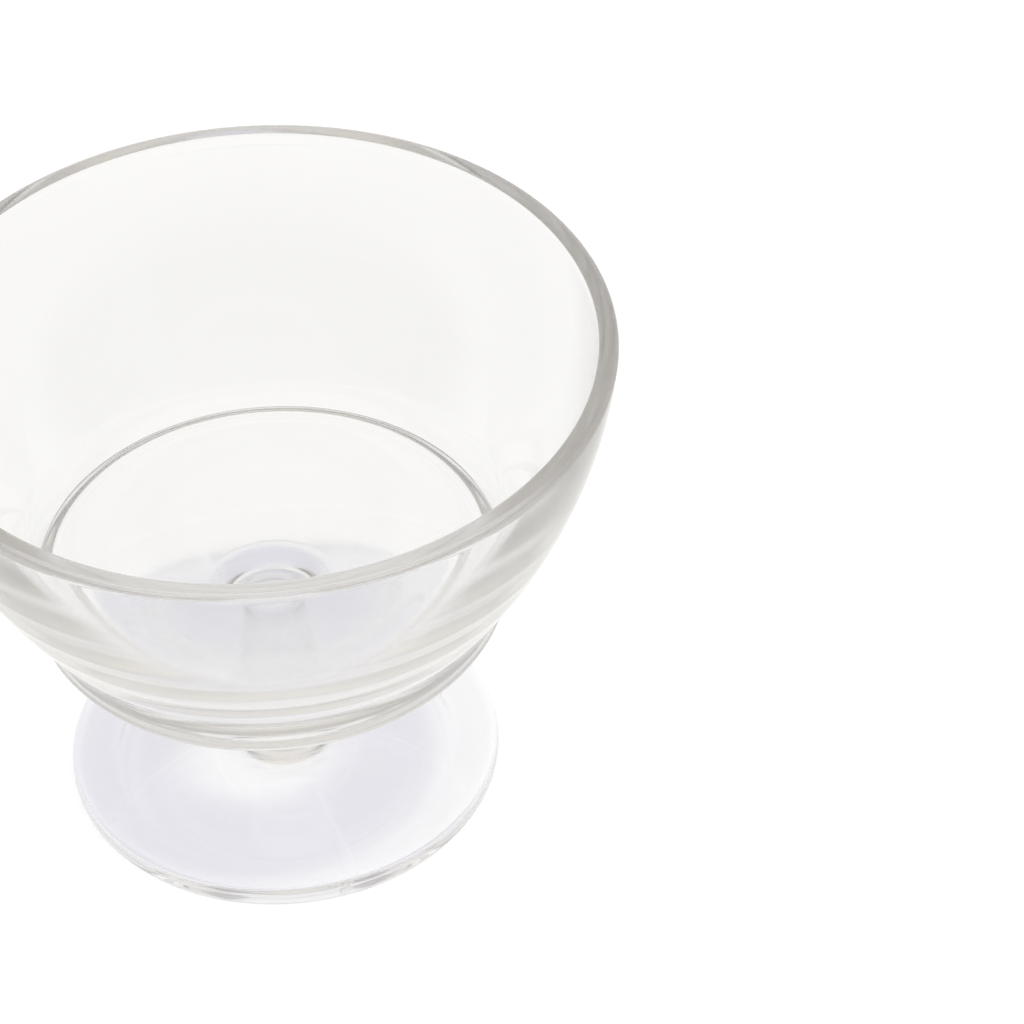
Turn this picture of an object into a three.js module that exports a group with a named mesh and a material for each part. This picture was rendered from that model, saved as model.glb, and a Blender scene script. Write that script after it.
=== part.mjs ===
import * as THREE from 'three';

// A footed dessert bowl of clear pressed glass: bowl, stem and foot, all turned about the Z axis.
// Sizes are in millimetres, +Z is up, and the table that the foot stands on is z = 0.

const glassColour = 0xeeeef2;
const glassRoughness = 0.03;
const glassOpacity = 0.35;
const roundSteps = 60; // facets around the axis

// Heights above the table
const lipTop = 83;
const innerFloor = 44;
const heelTop = 38.9; // where the sloping wall meets the upright base band
const heelBottom = 35.4; // lower edge of the base band
const flareTop = 27.6; // where the underside of the bowl turns down into the stem
const underBendHeight = 28.4; // the underside hangs towards this height at underBendRadius
const bowlSeat = 19; // flat seat between bowl and stem
const stemWaist = 16; // height of the stem's thinnest place
const footSeat = 12; // flat seat between stem and foot
const footShoulder = 5; // where the top of the foot turns up into the stem
const footEdge = 4.2; // top of the foot at its rim
const footHollow = 1.4; // depth of the hollow under the foot

// Radii
const rimRadius = 52.5;
const wallFootRadius = 34.9; // outside of the wall where it meets the base band
const underBendRadius = 24;
const flareRadius = 10.5;
const stemTopRadius = 5;
const stemWaistRadius = 4.8;
const stemFootRadius = 6.4;
const footShoulderRadius = 14;
const footRadius = 33.2;

// Thicknesses and roundings
const lipWidth = 2.85;
const lipRound = 1; // rounding outside the flat top of the lip
const lipEdge = 0.4; // rounding inside it
const wallWidth = 4.8; // the wall just above the inner floor, measured level
const wallSwell = 3.15; // how far the wall swells out from a straight cone at mid height
const floorCorner = 5; // rounding between inner floor and wall
const heelStep = 0.5; // the base band stands this far proud of the wall
const heelRound = 2.7; // radius under the base band
const footEdgeRound = 1.8;
const restRingWidth = 5; // flat ring that touches the table
const hollowSlope = 6; // width of the slope from that ring up into the hollow

const wallTop = lipTop - lipRound;

function point(radius, z) {
  return new THREE.Vector2(radius, z);
}

// Points along a curve that bends once, from start to end, towards the given corner point
function bend(start, corner, end, steps) {
  return new THREE.QuadraticBezierCurve(start, corner, end).getPoints(steps);
}

// Points along an arc about a centre, between two angles in degrees; 0 points outwards and 90 points up
function arc(centre, radius, fromDegrees, toDegrees, steps) {
  const points = [];
  for (let i = 0; i <= steps; i += 1) {
    const angle = THREE.MathUtils.degToRad(THREE.MathUtils.lerp(fromDegrees, toDegrees, i / steps));
    points.push(point(centre.x + radius * Math.cos(angle), centre.y + radius * Math.sin(angle)));
  }
  return points;
}

// Outer radius of the wall at a height: a cone from heel to lip plus a parabolic swell
function wallRadius(z) {
  const share = (z - heelTop) / (wallTop - heelTop);
  return THREE.MathUtils.lerp(wallFootRadius, rimRadius, share) + 4 * wallSwell * share * (1 - share);
}

// A closed solid turned about the Z axis; the outline runs from the axis round the outside and back to the axis
function turned(name, outline) {
  const apart = outline.filter((p, i) => i === 0 || p.distanceTo(outline[i - 1]) > 1e-6);
  const geometry = new THREE.LatheGeometry(apart, roundSteps);
  geometry.rotateX(Math.PI / 2);
  const glass = new THREE.MeshStandardMaterial({
    color: glassColour,
    roughness: glassRoughness,
    metalness: 0,
    transparent: true,
    opacity: glassOpacity,
  });
  const mesh = new THREE.Mesh(geometry, glass);
  mesh.name = name;
  return mesh;
}

// A cup with a thick floor: its wall narrows from wallWidth at the floor to lipWidth at the flat-topped lip
function bowlOutline() {
  const heelRadius = wallFootRadius + heelStep;
  const seatEdge = point(stemTopRadius, bowlSeat);
  const flare = point(flareRadius, flareTop);
  const underEdge = point(heelRadius - heelRound, heelBottom);
  const outerWall = [];
  const innerWall = [];
  const wallSteps = 9;
  const cornerTop = innerFloor + floorCorner;
  for (let i = 0; i <= wallSteps; i += 1) {
    const share = i / wallSteps;
    const outerZ = THREE.MathUtils.lerp(heelTop, wallTop, share);
    const innerZ = THREE.MathUtils.lerp(wallTop, cornerTop, share);
    const width = THREE.MathUtils.lerp(lipWidth, wallWidth, share);
    outerWall.push(point(wallRadius(outerZ), outerZ));
    innerWall.push(point(wallRadius(innerZ) - width, innerZ));
  }
  const wallEnd = innerWall[wallSteps];
  const wallAbove = innerWall[wallSteps - 1];
  const wallLean = (wallAbove.x - wallEnd.x) / (wallAbove.y - wallEnd.y);
  const floorBend = point(wallEnd.x - wallLean * floorCorner, innerFloor);
  const floorEdge = point(floorBend.x - floorCorner, innerFloor);
  const innerEdge = rimRadius - lipWidth;
  return [
    point(0, bowlSeat),
    ...bend(seatEdge, point(stemTopRadius, flareTop), flare, 5),
    ...bend(flare, point(underBendRadius, underBendHeight), underEdge, 6),
    ...arc(point(underEdge.x, heelBottom + heelRound), heelRound, -90, 0, 5),
    point(heelRadius, heelTop - heelStep),
    ...outerWall,
    ...bend(point(rimRadius, wallTop), point(rimRadius, lipTop), point(rimRadius - lipRound, lipTop), 5),
    ...bend(point(innerEdge + lipEdge, lipTop), point(innerEdge, lipTop), point(innerEdge, lipTop - lipEdge), 3),
    ...innerWall,
    ...bend(wallEnd, floorBend, floorEdge, 5),
    point(0, innerFloor),
  ];
}

// A waisted post between its two flat seats
function stemOutline() {
  const waist = point(stemWaistRadius, stemWaist);
  const waistBelow = point(stemWaistRadius, (footSeat + stemWaist) / 2);
  const waistAbove = point(stemWaistRadius, (stemWaist + bowlSeat) / 2);
  return [
    point(0, footSeat),
    ...bend(point(stemFootRadius, footSeat), waistBelow, waist, 5),
    ...bend(waist, waistAbove, point(stemTopRadius, bowlSeat), 5),
    point(0, bowlSeat),
  ];
}

// A disc on a flat ring, hollow underneath, whose top sweeps up to the stem
function footOutline() {
  const edgeRadius = footRadius - footEdgeRound;
  const ringRadius = edgeRadius - restRingWidth;
  const shoulder = point(footShoulderRadius, footShoulder);
  return [
    point(0, footHollow),
    ...bend(
      point(ringRadius - hollowSlope, footHollow),
      point(ringRadius - hollowSlope / 2, footHollow),
      point(ringRadius, 0),
      4,
    ),
    ...arc(point(edgeRadius, footEdgeRound), footEdgeRound, -90, 0, 4),
    ...arc(point(edgeRadius, footEdge - footEdgeRound), footEdgeRound, 0, 90, 4),
    ...bend(shoulder, point(stemFootRadius, footShoulder), point(stemFootRadius, footSeat), 5),
    point(0, footSeat),
  ];
}

const dessertBowl = new THREE.Group();
dessertBowl.add(turned('bowl', bowlOutline()));
dessertBowl.add(turned('stem', stemOutline()));
dessertBowl.add(turned('foot', footOutline()));

export default dessertBowl;
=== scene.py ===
import math
import bpy
import numpy as np
from mathutils import Matrix


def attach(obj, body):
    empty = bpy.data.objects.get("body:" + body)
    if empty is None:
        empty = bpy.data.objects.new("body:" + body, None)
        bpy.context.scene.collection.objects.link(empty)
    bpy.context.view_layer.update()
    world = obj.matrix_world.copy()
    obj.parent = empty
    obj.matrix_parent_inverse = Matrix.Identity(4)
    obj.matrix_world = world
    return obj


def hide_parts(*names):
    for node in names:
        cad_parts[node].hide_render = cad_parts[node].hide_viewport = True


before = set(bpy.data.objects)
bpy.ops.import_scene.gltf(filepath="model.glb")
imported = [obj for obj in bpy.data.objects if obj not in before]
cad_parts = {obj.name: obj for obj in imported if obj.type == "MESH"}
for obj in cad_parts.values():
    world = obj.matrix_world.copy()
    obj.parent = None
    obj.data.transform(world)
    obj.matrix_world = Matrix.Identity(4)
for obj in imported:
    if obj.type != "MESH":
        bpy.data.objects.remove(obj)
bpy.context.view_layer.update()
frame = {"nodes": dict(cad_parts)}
mm = 0.001
print("frame loaded:", ", ".join(frame["nodes"]))

camera = {
    "place": (0.0, -450.3, 457.0),  # mm from the middle of the foot
    "yaw": 4.64,  # degrees to the right of +Y
    "pitch": 42.27,  # degrees below level
    "roll": 1.89,
    "lens": 143.8,
    "sensor": 36.0,  # mm, the width that the lens goes with
    "nearest": 0.01,  # metres
    "glassBounces": 48,  # light runs a long way inside thick glass
}


def addCamera(values):
    # three unit axes from the angles: forward, level right and down, then right and down rolled about forward
    yaw, pitch, roll = (math.radians(values[key]) for key in ("yaw", "pitch", "roll"))
    forward = np.array([
        math.sin(yaw) * math.cos(pitch),
        math.cos(yaw) * math.cos(pitch),
        -math.sin(pitch),
    ])
    level = np.array([math.cos(yaw), -math.sin(yaw), 0.0])
    down = np.cross(forward, level)
    right = math.cos(roll) * level + math.sin(roll) * down
    lower = math.cos(roll) * down - math.sin(roll) * level
    data = bpy.data.cameras.new("camera")
    data.lens = values["lens"]
    data.sensor_width = values["sensor"]
    data.clip_start = values["nearest"]
    holder = bpy.data.objects.new("camera", data)
    place = np.eye(4)
    place[:3, 0], place[:3, 1], place[:3, 2] = right, -lower, -forward
    place[:3, 3] = np.array(values["place"]) * mm
    holder.matrix_world = Matrix(place.tolist())
    bpy.context.scene.collection.objects.link(holder)
    bpy.context.scene.camera = holder


addCamera(camera)
bpy.context.scene.view_settings.view_transform = "Standard"
bpy.context.scene.cycles.max_bounces = camera["glassBounces"]
bpy.context.scene.cycles.glossy_bounces = camera["glassBounces"]
bpy.context.scene.cycles.transmission_bounces = camera["glassBounces"]
print("camera placed")


def straight(start, end, steps):
    # points shared evenly along the line between two points
    share = np.linspace(0.0, 1.0, steps + 1)[:, None]
    return (1 - share) * np.array(start) + share * np.array(end)


def bend(start, corner, end, steps):
    # quadratic curve: (1-t)^2 of the start, 2t(1-t) of the corner and t^2 of the end
    share = np.linspace(0.0, 1.0, steps + 1)[:, None]
    return ((1 - share) ** 2 * np.array(start) + 2 * share * (1 - share) * np.array(corner)
            + share ** 2 * np.array(end))


def arc(centre, radius, fromDegrees, toDegrees, steps):
    # circle about the centre; 0 degrees points outwards and 90 up
    angle = np.radians(np.linspace(fromDegrees, toDegrees, steps + 1))
    return np.array(centre) + radius * np.stack([np.cos(angle), np.sin(angle)], axis=1)


def joined(*runs):
    # one outline from several, without the doubled points where they meet
    outline = np.concatenate([np.atleast_2d(np.array(run, dtype=float)) for run in runs])
    apart = np.hypot(*np.diff(outline, axis=0).T) > 1e-6
    return outline[np.concatenate([[True], apart])]


mould = {
    "seams": (-74.0, 106.0),  # degrees about the axis, where the two halves of the foot's mould meet
    "seamHeight": 0.3,
    "seamWidth": 0.35,
    "seamReach": 3.0,  # degrees to each side of a seam that have finer steps
    "seamSteps": 25,
    "seamEnd": 1.0,  # mm inside the edge of the foot, where the ridge has gone
    "seamFade": (1.5, 2.0),  # mm over which it fades, at that end and at the shoulder
    "sharpAngle": 40.0,  # degrees between faces, above which an edge stays sharp
}


def mouldAngles(steps):
    # even steps around the axis, with finer ones beside each seam
    even = np.linspace(0.0, 360.0, steps, endpoint=False)
    finer = np.linspace(-mould["seamReach"], mould["seamReach"], mould["seamSteps"])
    beside = np.concatenate([seam + finer for seam in mould["seams"]]) % 360.0
    return np.radians(np.unique(np.round(np.concatenate([even, beside]), 4)))


def turnedPiece(name, outline, steps, seamShare):
    # surface of revolution: each outline point goes round the axis, pushed along the outline's normal by a
    # seam ridge, height * exp(-(arc distance to the seam / width)^2) * the share given for that point
    angles = mouldAngles(steps)
    ahead = np.gradient(outline, axis=0)
    normal = np.stack([ahead[:, 1], -ahead[:, 0]], axis=1)
    normal /= np.linalg.norm(normal, axis=1)[:, None]
    rings = slice(1, -1)
    radius, height = outline[rings, 0][:, None], outline[rings, 1][:, None]
    ridge = np.zeros((len(outline) - 2, len(angles)))
    for seam in mould["seams"]:
        away = (angles - math.radians(seam) + math.pi) % (2 * math.pi) - math.pi
        ridge += mould["seamHeight"] * np.exp(-(away * radius / mould["seamWidth"]) ** 2)
    ridge *= seamShare[rings][:, None]
    radius = radius + ridge * normal[rings, 0][:, None]
    height = height + ridge * normal[rings, 1][:, None]
    grid = np.stack([radius * np.cos(angles), radius * np.sin(angles), height + 0 * angles], axis=2)
    ringCount, around = grid.shape[:2]
    points = np.concatenate([[[0, 0, outline[0, 1]]], grid.reshape(-1, 3), [[0, 0, outline[-1, 1]]]]) * mm
    index = 1 + np.arange(ringCount * around).reshape(ringCount, around)
    beyond = np.roll(index, -1, axis=1)
    sides = np.stack([index[:-1], beyond[:-1], beyond[1:], index[1:]], axis=2).reshape(-1, 4)
    below = np.stack([np.zeros(around, int), beyond[0], index[0]], axis=1)
    above = np.stack([index[-1], beyond[-1], np.full(around, len(points) - 1)], axis=1)
    mesh = bpy.data.meshes.new(name)
    mesh.from_pydata(points.tolist(), [], below.tolist() + sides.tolist() + above.tolist())
    mesh.shade_smooth()
    mesh.set_sharp_from_angle(angle=math.radians(mould["sharpAngle"]))
    piece = bpy.data.objects.new(name, mesh)
    bpy.context.scene.collection.objects.link(piece)
    return piece


def markSeats(piece, heights):
    # the level faces at these heights are hot joints inside the glass: their seat value is 1, and 0 elsewhere
    nearEnough = 0.05 * mm
    uprightNormal = 0.999
    mesh = piece.data
    middles = np.empty(len(mesh.polygons) * 3)
    mesh.polygons.foreach_get("center", middles)
    normals = np.empty(len(mesh.polygons) * 3)
    mesh.polygons.foreach_get("normal", normals)
    level = np.abs(normals.reshape(-1, 3)[:, 2]) > uprightNormal
    gap = np.abs(middles.reshape(-1, 3)[:, 2][:, None] - np.array(heights) * mm).min(axis=1)
    seat = mesh.attributes.new("seat", "FLOAT", "FACE")
    seat.data.foreach_set("value", (level & (gap < nearEnough)).astype(np.float32))


poleRing = 2.0  # mm, radius of the last ring on a broad flat face before the axis

bowl = {
    "lipTop": 83.0, "innerFloor": 44.0, "heelTop": 39.3, "heelBottom": 35.4,
    "flareTop": 27.6, "seat": 19.0,
    "rimRadius": 52.5, "wallFootRadius": 34.9, "flareRadius": 10.5, "seatRadius": 5.0,
    "underBend": (24.0, 28.4),
    "lipWidth": 2.85, "lipRound": 1.0, "lipEdge": 0.4, "wallWidth": 4.8, "wallSwell": 3.15,
    "floorCorner": 5.0, "heelStep": 0.7, "heelRound": 1.9,
    "outerSteps": 60, "innerSteps": 40, "around": 360,
}


def wallRadius(height):
    # outer wall: a cone from heel to lip plus a parabolic swell, 4 * swell * share * (1 - share)
    share = (height - bowl["heelTop"]) / (bowl["lipTop"] - bowl["lipRound"] - bowl["heelTop"])
    cone = bowl["wallFootRadius"] + share * (bowl["rimRadius"] - bowl["wallFootRadius"])
    return cone + 4 * bowl["wallSwell"] * share * (1 - share)


def bowlOutline():
    # from the seat out along the underside, round the heel, up the wall, over the lip and down to the floor
    wallTop = bowl["lipTop"] - bowl["lipRound"]
    innerEdge = bowl["rimRadius"] - bowl["lipWidth"]
    heelRadius = bowl["wallFootRadius"] + bowl["heelStep"]
    seatEdge = (bowl["seatRadius"], bowl["seat"])
    flare = (bowl["flareRadius"], bowl["flareTop"])
    underEdge = (heelRadius - bowl["heelRound"], bowl["heelBottom"])
    outerHeight = np.linspace(bowl["heelTop"], wallTop, bowl["outerSteps"])
    outerWall = np.stack([wallRadius(outerHeight), outerHeight], axis=1)
    innerHeight = np.linspace(wallTop, bowl["innerFloor"] + bowl["floorCorner"], bowl["innerSteps"])
    width = np.linspace(bowl["lipWidth"], bowl["wallWidth"], bowl["innerSteps"])
    innerWall = np.stack([wallRadius(innerHeight) - width, innerHeight], axis=1)
    crest = (bowl["rimRadius"] - bowl["lipRound"], bowl["lipTop"])
    innerCrest = (innerEdge + bowl["lipEdge"], bowl["lipTop"])
    wallEnd = innerWall[-1]
    wallLean = (innerWall[-2, 0] - wallEnd[0]) / (innerWall[-2, 1] - wallEnd[1])
    floorBend = (wallEnd[0] - wallLean * bowl["floorCorner"], bowl["innerFloor"])
    floorEdge = (floorBend[0] - bowl["floorCorner"], bowl["innerFloor"])
    return joined(
        (0, bowl["seat"]),
        bend(seatEdge, (bowl["seatRadius"], bowl["flareTop"]), flare, 16),
        bend(flare, bowl["underBend"], underEdge, 24),
        arc((underEdge[0], bowl["heelBottom"] + bowl["heelRound"]), bowl["heelRound"], -90, 0, 14),
        (heelRadius, bowl["heelTop"] - bowl["heelStep"]),
        outerWall,
        bend(outerWall[-1], (bowl["rimRadius"], bowl["lipTop"]), crest, 14),
        bend(innerCrest, (innerEdge, bowl["lipTop"]), (innerEdge, bowl["lipTop"] - bowl["lipEdge"]), 10),
        innerWall,
        bend(wallEnd, floorBend, floorEdge, 24),
        straight(floorEdge, (poleRing, bowl["innerFloor"]), 8),
        (0, bowl["innerFloor"]),
    )


stem = {
    "waist": 16.0, "seat": 12.0, "waistRadius": 4.8, "footRadius": 6.4,
    "jointGap": 0.01,  # mm kept clear of each seat
    "around": 240,
}


def stemOutline():
    # a waisted post: two curves that leave the waist upright
    waist = (stem["waistRadius"], stem["waist"])
    bottom, top = stem["seat"] + stem["jointGap"], bowl["seat"] - stem["jointGap"]
    lowBend = (stem["waistRadius"], (bottom + stem["waist"]) / 2)
    highBend = (stem["waistRadius"], (stem["waist"] + top) / 2)
    return joined(
        (0, bottom),
        bend((stem["footRadius"], bottom), lowBend, waist, 20),
        bend(waist, highBend, (bowl["seatRadius"], top), 20),
        (0, top),
    )


foot = {
    "radius": 33.2, "edge": 4.2, "edgeRound": 1.8, "shoulderRadius": 14.0, "shoulder": 5.0,
    "ringWidth": 5.0, "hollow": 1.4, "hollowSlope": 6.0,
    "around": 600,
}


def footOutline():
    # a disc on a flat ring, hollow underneath, whose top sweeps up to the stem
    edgeRadius = foot["radius"] - foot["edgeRound"]
    ringRadius = edgeRadius - foot["ringWidth"]
    hollowEdge = (ringRadius - foot["hollowSlope"], foot["hollow"])
    hollowBend = (ringRadius - foot["hollowSlope"] / 2, foot["hollow"])
    shoulder = (foot["shoulderRadius"], foot["shoulder"])
    return joined(
        (0, foot["hollow"]),
        straight((poleRing, foot["hollow"]), hollowEdge, 6),
        bend(hollowEdge, hollowBend, (ringRadius, 0), 12),
        straight((ringRadius, 0), (edgeRadius, 0), 3),
        arc((edgeRadius, foot["edgeRound"]), foot["edgeRound"], -90, 0, 12),
        arc((edgeRadius, foot["edge"] - foot["edgeRound"]), foot["edgeRound"], 0, 90, 12),
        straight((edgeRadius, foot["edge"]), shoulder, 16),
        bend(shoulder, (stem["footRadius"], foot["shoulder"]), (stem["footRadius"], stem["seat"]), 20),
        (0, stem["seat"]),
    )


def footSeam(outline):
    # share of the seam ridge at each point: 1 on the top of the foot, falling to 0 at its edge and shoulder
    edgeFade, shoulderFade = mould["seamFade"]
    topPart = np.arange(len(outline)) > np.argmax(outline[:, 0])
    fromEdge = np.clip((foot["radius"] - mould["seamEnd"] - outline[:, 0]) / edgeFade, 0.0, 1.0)
    fromShoulder = np.clip((outline[:, 0] - foot["shoulderRadius"]) / shoulderFade, 0.0, 1.0)
    return topPart * fromEdge * fromShoulder


bowlShape = bowlOutline()
stemShape = stemOutline()
footShape = footOutline()
bowlPiece = turnedPiece("bowlGlass", bowlShape, bowl["around"], np.zeros(len(bowlShape)))
stemPiece = turnedPiece("stemGlass", stemShape, stem["around"], np.zeros(len(stemShape)))
footPiece = turnedPiece("footGlass", footShape, foot["around"], footSeam(footShape))
markSeats(bowlPiece, [bowl["seat"]])
markSeats(stemPiece, [bowl["seat"], stem["seat"]])
markSeats(footPiece, [stem["seat"]])
print("glass turned:", ", ".join(piece.name for piece in (bowlPiece, stemPiece, footPiece)))


def fade(tree, source, ends):
    # smooth step from 0 at the first end to 1 at the second
    step = tree.nodes.new("ShaderNodeMapRange")
    step.interpolation_type = "SMOOTHSTEP"
    step.inputs["From Min"].default_value, step.inputs["From Max"].default_value = ends
    tree.links.new(source, step.inputs["Value"])
    return step.outputs["Result"]


def mixed(tree, factor, first, second):
    # colour between two, each a colour of its own or another node's output
    mix = tree.nodes.new("ShaderNodeMix")
    mix.data_type = "RGBA"
    tree.links.new(factor, mix.inputs["Factor"])
    for socket, value in (("A", first), ("B", second)):
        if isinstance(value, tuple):
            mix.inputs[socket].default_value = (*value, 1.0)
        else:
            tree.links.new(value, mix.inputs[socket])
    return mix.outputs["Result"]


def greater(tree, first, second):
    # the larger of two values
    larger = tree.nodes.new("ShaderNodeMath")
    larger.operation = "MAXIMUM"
    tree.links.new(first, larger.inputs[0])
    tree.links.new(second, larger.inputs[1])
    return larger.outputs[0]


glass = {
    "ior": 1.52,
    "tint": (0.95, 0.95, 0.962),
    "depthTint": (0.40, 0.34, 0.24),
    "depthLoss": 1.5,  # density of the loss in each metre, on top of one less the tint
    "lampTint": (0.97, 0.97, 0.975),
    "footPaintedShadow": (0.74, 0.74, 0.825),  # painted shadow: lavender tint of the lamp light under the foot
    "footPaintedShadowShift": (0.0045, 0.0, 0.0),  # how far left of the axis that painted shadow lies
    "footPaintedShadowRadius": (0.026, 0.031),
    "stemPaintedLight": (0.0145, 0.009),  # radii between which the painted shadow fades to white round the stem, a painted pool of light
    "waveScale": 55.0,
    "waveDetail": 1.0,
    "waveDepth": 0.000006,
    "seedScale": 95.0,
    "seedSize": (0.03, 0.015),  # outer and inner reach of a seed, in cells
    "seedRarity": 0.86,  # cells whose random value is above this hold a seed
    "seedTint": (0.55, 0.54, 0.52),
}


def glassSurface():
    # colour and height that every glass piece shares: slow waves from the mould and a few tiny seeds
    group = bpy.data.node_groups.new("pressedGlassSurface", "ShaderNodeTree")
    face = group.interface
    face.new_socket("Place", in_out="INPUT", socket_type="NodeSocketVector")
    face.new_socket("Tint", in_out="INPUT", socket_type="NodeSocketColor")
    face.new_socket("Waves", in_out="INPUT", socket_type="NodeSocketFloat")
    face.new_socket("Color", in_out="OUTPUT", socket_type="NodeSocketColor")
    face.new_socket("Height", in_out="OUTPUT", socket_type="NodeSocketFloat")
    node, link = group.nodes.new, group.links.new
    given, made = node("NodeGroupInput"), node("NodeGroupOutput")
    waves = node("ShaderNodeTexNoise")
    waves.inputs["Scale"].default_value = glass["waveScale"]
    waves.inputs["Detail"].default_value = glass["waveDetail"]
    cells = node("ShaderNodeTexVoronoi")
    cells.inputs["Scale"].default_value = glass["seedScale"]
    dot = node("ShaderNodeMapRange")
    dot.inputs["From Min"].default_value, dot.inputs["From Max"].default_value = glass["seedSize"]
    rare = node("ShaderNodeMath")
    rare.operation = "GREATER_THAN"
    rare.inputs[1].default_value = glass["seedRarity"]
    part = node("ShaderNodeSeparateColor")
    seed = node("ShaderNodeMath")
    seed.operation = "MULTIPLY"
    depth = node("ShaderNodeMath")
    depth.operation = "MULTIPLY"
    height = node("ShaderNodeMath")
    height.operation = "SUBTRACT"
    link(given.outputs["Place"], waves.inputs["Vector"])
    link(given.outputs["Place"], cells.inputs["Vector"])
    link(cells.outputs["Distance"], dot.inputs["Value"])
    link(cells.outputs["Color"], part.inputs["Color"])
    link(part.outputs["Red"], rare.inputs[0])
    link(dot.outputs["Result"], seed.inputs[0])
    link(rare.outputs[0], seed.inputs[1])
    link(waves.outputs["Fac"], depth.inputs[0])
    link(given.outputs["Waves"], depth.inputs[1])
    link(depth.outputs[0], height.inputs[0])
    link(seed.outputs[0], height.inputs[1])
    tinted = mixed(group, seed.outputs[0], given.outputs["Tint"], glass["seedTint"])
    link(tinted, made.inputs["Color"])
    link(height.outputs[0], made.inputs["Height"])
    return group


def glassMaterial(name, surface, waves, blurs, paintsShadow):
    # clear glass; lamps pass through it with a small loss, so that it throws a pale shadow
    material = bpy.data.materials.new(name)
    material.use_nodes = True
    tree = material.node_tree
    tree.nodes.clear()
    node, link = tree.nodes.new, tree.links.new
    place = node("ShaderNodeTexCoord")
    shared = node("ShaderNodeGroup")
    shared.node_tree = surface
    shared.inputs["Tint"].default_value = (*glass["tint"], 1.0)
    shared.inputs["Waves"].default_value = waves
    bump = node("ShaderNodeBump")
    bump.inputs["Strength"].default_value = 1.0
    bump.inputs["Distance"].default_value = glass["waveDepth"]
    body = node("ShaderNodeBsdfPrincipled")
    body.inputs["Metallic"].default_value = 0.0
    body.inputs["IOR"].default_value = glass["ior"]
    body.inputs["Transmission Weight"].default_value = 1.0
    height = node("ShaderNodeSeparateXYZ")
    link(place.outputs["Object"], height.inputs["Vector"])
    rough = None
    for heights, below, above in blurs:
        # roughness that changes between two heights; the greatest of a piece's blurs counts
        satin = node("ShaderNodeMapRange")
        satin.inputs["From Min"].default_value, satin.inputs["From Max"].default_value = heights
        satin.inputs["To Min"].default_value, satin.inputs["To Max"].default_value = below, above
        link(height.outputs["Z"], satin.inputs["Value"])
        rough = satin.outputs["Result"] if rough is None else greater(tree, rough, satin.outputs["Result"])
    link(rough, body.inputs["Roughness"])
    seat = node("ShaderNodeAttribute")
    seat.attribute_name = "seat"
    clear = node("ShaderNodeMath")
    clear.operation = "SUBTRACT"
    clear.inputs[0].default_value = 1.0
    link(seat.outputs["Fac"], clear.inputs[1])
    link(clear.outputs[0], body.inputs["Alpha"])
    inside = node("ShaderNodeVolumeAbsorption")
    inside.inputs["Color"].default_value = (*glass["depthTint"], 1.0)
    inside.inputs["Density"].default_value = glass["depthLoss"]
    passing = node("ShaderNodeBsdfTransparent")
    passing.inputs["Color"].default_value = (*glass["lampTint"], 1.0)
    if paintsShadow:
        # painted shadow: lamp light through the piece turns lavender under its middle, by distance from a
        # point beside its axis, and goes back to plain near its edge and round the stem, where it paints a
        # pool of light
        flat = node("ShaderNodeVectorMath")
        flat.operation = "MULTIPLY_ADD"
        flat.inputs[1].default_value = (1.0, 1.0, 0.0)
        flat.inputs[2].default_value = glass["footPaintedShadowShift"]
        reach = node("ShaderNodeVectorMath")
        reach.operation = "LENGTH"
        link(place.outputs["Object"], flat.inputs[0])
        link(flat.outputs["Vector"], reach.inputs[0])
        edge = fade(tree, reach.outputs["Value"], glass["footPaintedShadowRadius"])
        middle = fade(tree, reach.outputs["Value"], glass["stemPaintedLight"])
        paintedShadowTone = mixed(tree, greater(tree, edge, middle), glass["footPaintedShadow"], glass["lampTint"])
        link(paintedShadowTone, passing.inputs["Color"])
    path = node("ShaderNodeLightPath")
    blend = node("ShaderNodeMixShader")
    out = node("ShaderNodeOutputMaterial")
    link(place.outputs["Object"], shared.inputs["Place"])
    link(shared.outputs["Color"], body.inputs["Base Color"])
    link(shared.outputs["Height"], bump.inputs["Height"])
    link(bump.outputs["Normal"], body.inputs["Normal"])
    link(greater(tree, path.outputs["Is Shadow Ray"], path.outputs["Is Diffuse Ray"]), blend.inputs["Fac"])
    link(body.outputs["BSDF"], blend.inputs[1])
    link(passing.outputs["BSDF"], blend.inputs[2])
    link(blend.outputs["Shader"], out.inputs["Surface"])
    link(inside.outputs["Volume"], out.inputs["Volume"])
    return material


# heights in metres, then the roughness below and above them
wallBlur = ((0.075, 0.080), 0.05, 0.0)  # the wall, up to the fire-polished lip
underBlur = ((0.028, 0.034), 0.15, 0.0)  # the satin underside, up to the wall
flareBlur = ((0.0055, 0.0080), 0.0, 0.2)  # the foot, where it turns up into the stem

# piece, node, strength of the mould's waves, and blurs
finishes = (
    (bowlPiece, "bowl", 1.0, (wallBlur, underBlur)),
    (stemPiece, "stem", 0.6, (underBlur,)),
    (footPiece, "foot", 1.2, (flareBlur,)),
)
surface = glassSurface()
for piece, nodeName, waves, blurs in finishes:
    finish = glassMaterial(nodeName + "ClearGlass", surface, waves, blurs, nodeName == "foot")
    piece.data.materials.append(finish)
    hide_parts(nodeName)
    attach(piece, "root")
print("glass finished")

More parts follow.
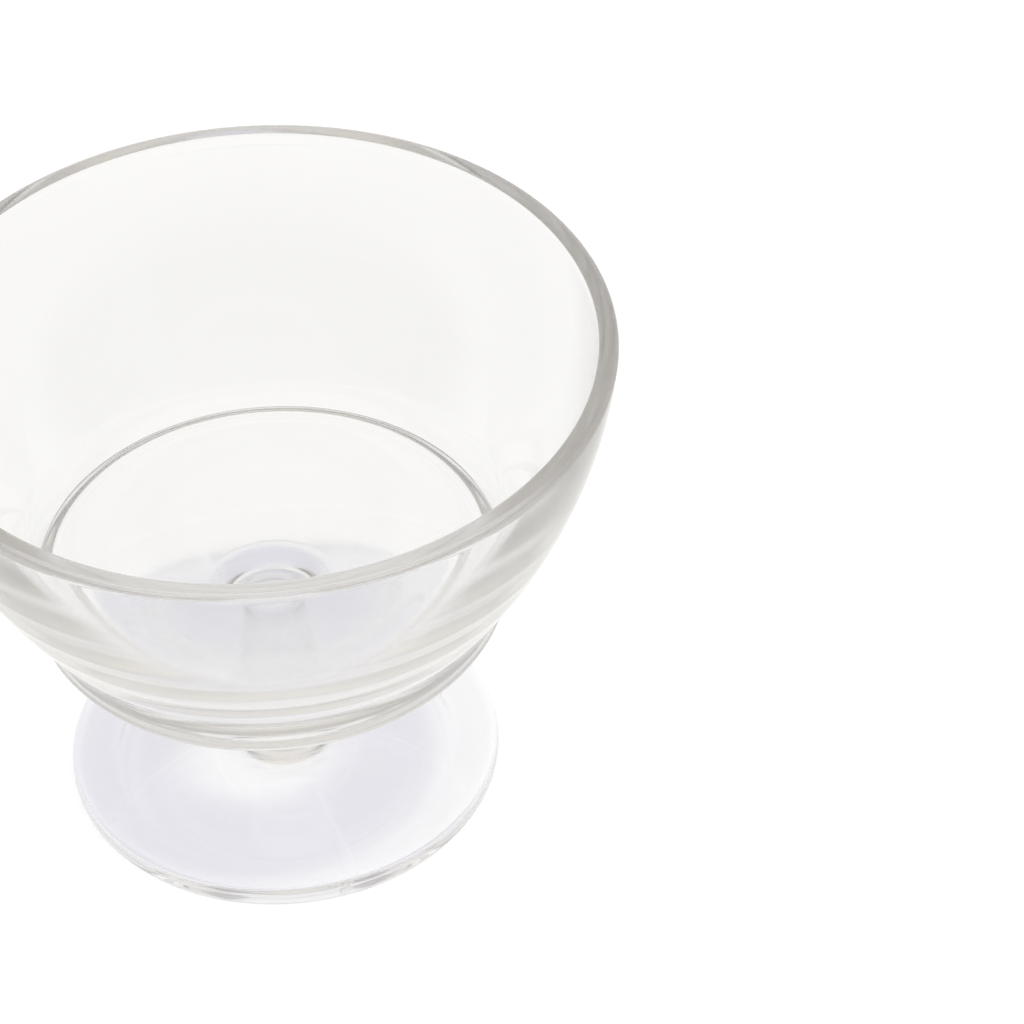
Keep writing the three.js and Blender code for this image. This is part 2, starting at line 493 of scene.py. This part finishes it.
studio = {
    "floorSize": 1.6,
    "floorSides": 96,
    "floorDrop": 0.00002,  # metres that the floor lies below the foot
    "floorShade": 0.4,  # share of the floor that takes light and shadow; the rest is plain white
    "paper": (0.9, 0.9, 0.9),
    "white": (1.0, 1.0, 1.0),
    "table": (0.25, 0.24, 0.23),  # where the white sheet has ended, before the bowl
    "sheetEnd": (-0.30, -0.16),
    "sheet": (0.89, 0.89, 0.865),  # the sheet as the glass shows it, away from the foot
    "sheetSide": (0.08, 0.17),  # distances to the left and right over which it darkens
    "side": (0.45, 0.45, 0.44),
    "footPaintedCaustic": (0.031, 0.042),  # radii between which the painted pool of light round the foot fades into that
    "room": (0.22, 0.21, 0.20),  # dark room on the camera's side
    "roomTop": (0.56, 0.54, 0.51),  # its lighter upper part
    "roomTopFrom": (0.25, 0.5),
    "window": (0.3, 0.3, 0.3),  # one window to the right of the camera
    "windowSide": (0.45, 0.6),  # how far to the right it starts
    "windowTop": (0.22, 0.36),
    "overhead": (0.95, 0.92, 0.85),
    "overheadFrom": (0.75, 0.9),
    "sheetFar": (0.5, 0.75),  # sines of the heights between which the sheet fades, behind the bowl
    "farTop": (0.5, 0.49, 0.47),  # the wall above the sheet there
    "sheetNear": (-0.15, 0.0),  # the same heights on the camera's side
    "sheetTurn": (-0.3, 0.3),  # where that side turns into the far one
}


def addFloor():
    # a round sheet: radius share times cosine and sine of the angle
    sides = studio["floorSides"]
    share = np.linspace(0.0, 1.0, 3)[1:, None]
    angle = np.linspace(0.0, 2 * math.pi, sides, endpoint=False)[None, :]
    flat = np.stack([share * np.cos(angle), share * np.sin(angle), 0 * share * angle], axis=2)
    points = np.concatenate([[[0.0, 0.0, 0.0]], flat.reshape(-1, 3) * studio["floorSize"]])
    points[:, 2] = -studio["floorDrop"]
    inner = 1 + np.arange(sides)
    nextInner = np.roll(inner, -1)
    middle = np.stack([np.zeros(sides, int), inner, nextInner], axis=1)
    outer = np.stack([inner, inner + sides, nextInner + sides, nextInner], axis=1)
    mesh = bpy.data.meshes.new("floor")
    mesh.from_pydata(points.tolist(), [], middle.tolist() + outer.tolist())
    floor = bpy.data.objects.new("floor", mesh)
    bpy.context.scene.collection.objects.link(floor)
    mesh.materials.append(floorMaterial())


def floorMaterial():
    # plain white to the camera; through the glass, a sheet with a painted pool of light round the foot,
    # greyer away from it, that ends in a dark table
    material = bpy.data.materials.new("paleFloor")
    material.use_nodes = True
    tree = material.node_tree
    tree.nodes.clear()
    node, link = tree.nodes.new, tree.links.new
    paper = node("ShaderNodeBsdfDiffuse")
    paper.inputs["Color"].default_value = (*studio["paper"], 1.0)
    glow = node("ShaderNodeEmission")
    place = node("ShaderNodeTexCoord")
    split = node("ShaderNodeSeparateXYZ")
    fromAxis = node("ShaderNodeVectorMath")
    fromAxis.operation = "LENGTH"
    across = node("ShaderNodeMath")
    across.operation = "ABSOLUTE"
    path = node("ShaderNodeLightPath")
    link(place.outputs["Object"], split.inputs["Vector"])
    link(place.outputs["Object"], fromAxis.inputs[0])
    link(split.outputs["X"], across.inputs[0])
    # painted pool of light round the foot, white fading into the sheet
    paintedCausticFade = fade(tree, fromAxis.outputs["Value"], studio["footPaintedCaustic"])
    sheet = mixed(tree, paintedCausticFade, studio["white"], studio["sheet"])
    wide = mixed(tree, fade(tree, across.outputs[0], studio["sheetSide"]), sheet, studio["side"])
    ended = mixed(tree, fade(tree, split.outputs["Y"], studio["sheetEnd"]), studio["table"], wide)
    tone = mixed(tree, path.outputs["Is Camera Ray"], ended, studio["white"])
    link(tone, glow.inputs["Color"])
    direct = greater(tree, path.outputs["Is Camera Ray"], path.outputs["Is Glossy Ray"])
    seen = greater(tree, direct, path.outputs["Is Transmission Ray"])
    glowShare = node("ShaderNodeMath")
    glowShare.operation = "MULTIPLY"
    glowShare.inputs[1].default_value = 1.0 - studio["floorShade"]
    blend = node("ShaderNodeMixShader")
    out = node("ShaderNodeOutputMaterial")
    link(seen, glowShare.inputs[0])
    link(glowShare.outputs[0], blend.inputs["Fac"])
    link(paper.outputs["BSDF"], blend.inputs[1])
    link(glow.outputs["Emission"], blend.inputs[2])
    link(blend.outputs["Shader"], out.inputs["Surface"])
    return material


def addSurround():
    # by direction: a white sheet low down, higher behind the bowl than before it, a dim room above the sheet
    # and a broad light overhead; the camera itself sees plain white
    world = bpy.data.worlds.new("studio")
    bpy.context.scene.world = world
    world.use_nodes = True
    tree = world.node_tree
    tree.nodes.clear()
    node, link = tree.nodes.new, tree.links.new
    place = node("ShaderNodeTexCoord")
    split = node("ShaderNodeSeparateXYZ")
    path = node("ShaderNodeLightPath")
    sky = node("ShaderNodeBackground")
    out = node("ShaderNodeOutputWorld")
    link(place.outputs["Generated"], split.inputs["Vector"])
    toRight, toFar, upward = split.outputs["X"], split.outputs["Y"], split.outputs["Z"]
    beyond = mixed(tree, fade(tree, upward, studio["windowTop"]), studio["window"], studio["room"])
    low = mixed(tree, fade(tree, toRight, studio["windowSide"]), studio["room"], beyond)
    room = mixed(tree, fade(tree, upward, studio["roomTopFrom"]), low, studio["roomTop"])
    far = mixed(tree, fade(tree, upward, studio["sheetFar"]), studio["white"], studio["farTop"])
    near = mixed(tree, fade(tree, upward, studio["sheetNear"]), studio["white"], room)
    around = mixed(tree, fade(tree, toFar, studio["sheetTurn"]), near, far)
    whole = mixed(tree, fade(tree, upward, studio["overheadFrom"]), around, studio["overhead"])
    seen = mixed(tree, path.outputs["Is Camera Ray"], whole, studio["white"])
    link(seen, sky.inputs["Color"])
    link(sky.outputs["Background"], out.inputs["Surface"])


lamps = {
    "left": {"place": (-0.9, 0.5, 1.0), "size": 0.7, "power": 9.2},
    "right": {"place": (0.9, -0.2, 1.1), "size": 0.5, "power": 9.2},
}
lampAim = (0.0, 0.0, 0.05)  # the middle of the bowl, in metres


def addLamp(name, values):
    # a soft square lamp that looks at the bowl: its -Z axis runs from its place to the middle of the bowl
    data = bpy.data.lights.new(name, "AREA")
    data.energy = values["power"]
    data.size = values["size"]
    holder = bpy.data.objects.new(name, data)
    holder.visible_glossy = False
    holder.visible_transmission = False
    away = np.array(values["place"]) - np.array(lampAim)
    away /= np.linalg.norm(away)
    side = np.cross([0.0, 0.0, 1.0], away)
    side /= np.linalg.norm(side)
    place = np.eye(4)
    place[:3, 0], place[:3, 1], place[:3, 2] = side, np.cross(away, side), away
    place[:3, 3] = values["place"]
    holder.matrix_world = Matrix(place.tolist())
    bpy.context.scene.collection.objects.link(holder)


addFloor()
addSurround()
for lampName, lampValues in lamps.items():
    addLamp(lampName + "Lamp", lampValues)
print("studio lit")
